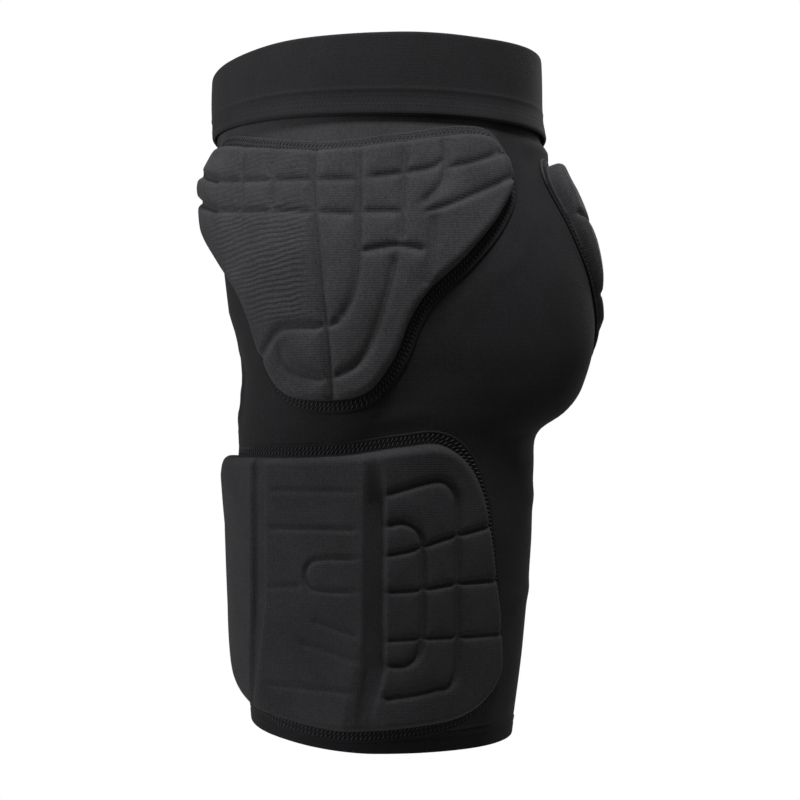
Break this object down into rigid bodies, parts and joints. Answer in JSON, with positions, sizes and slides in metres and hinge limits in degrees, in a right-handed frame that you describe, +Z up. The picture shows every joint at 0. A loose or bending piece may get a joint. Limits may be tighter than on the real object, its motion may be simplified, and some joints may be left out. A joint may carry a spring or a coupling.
{
  "type": "padded protective shorts with hip pads",
  "caption": "Tight protective shorts with a wide elastic waistband and moulded foam pads sewn over the hips, thighs and tailbone, held open as worn.",
  "frame": {"origin": "middle of the waist opening, level with the middle of the waistband's top edge", "axes": "+Z up through the waist opening, +X to the wearer's left, -Y to the wearer's front"},
  "size_m": [0.362, 0.2536, 0.426],
  "materials": {
    "elastic_band": "matt woven elastic",
    "knit_shell": "matt polyester-elastane knit",
    "hip_pad_cover": "matt stretch knit bonded over foam",
    "thigh_pad_cover": "matt stretch knit bonded over foam"
  },
  "bodies": {
    "root": {"waistband": "elastic_band", "shorts_torso": "knit_shell", "shorts_leg_left": "knit_shell", "shorts_leg_right": "knit_shell", "leg_hem_left": "knit_shell", "leg_hem_right": "knit_shell", "hip_pad_left": "hip_pad_cover", "hip_pad_right": "hip_pad_cover", "thigh_pad_left": "thigh_pad_cover", "thigh_pad_right": "thigh_pad_cover", "tailbone_pad": "thigh_pad_cover"}
  },
  "joints": []
}
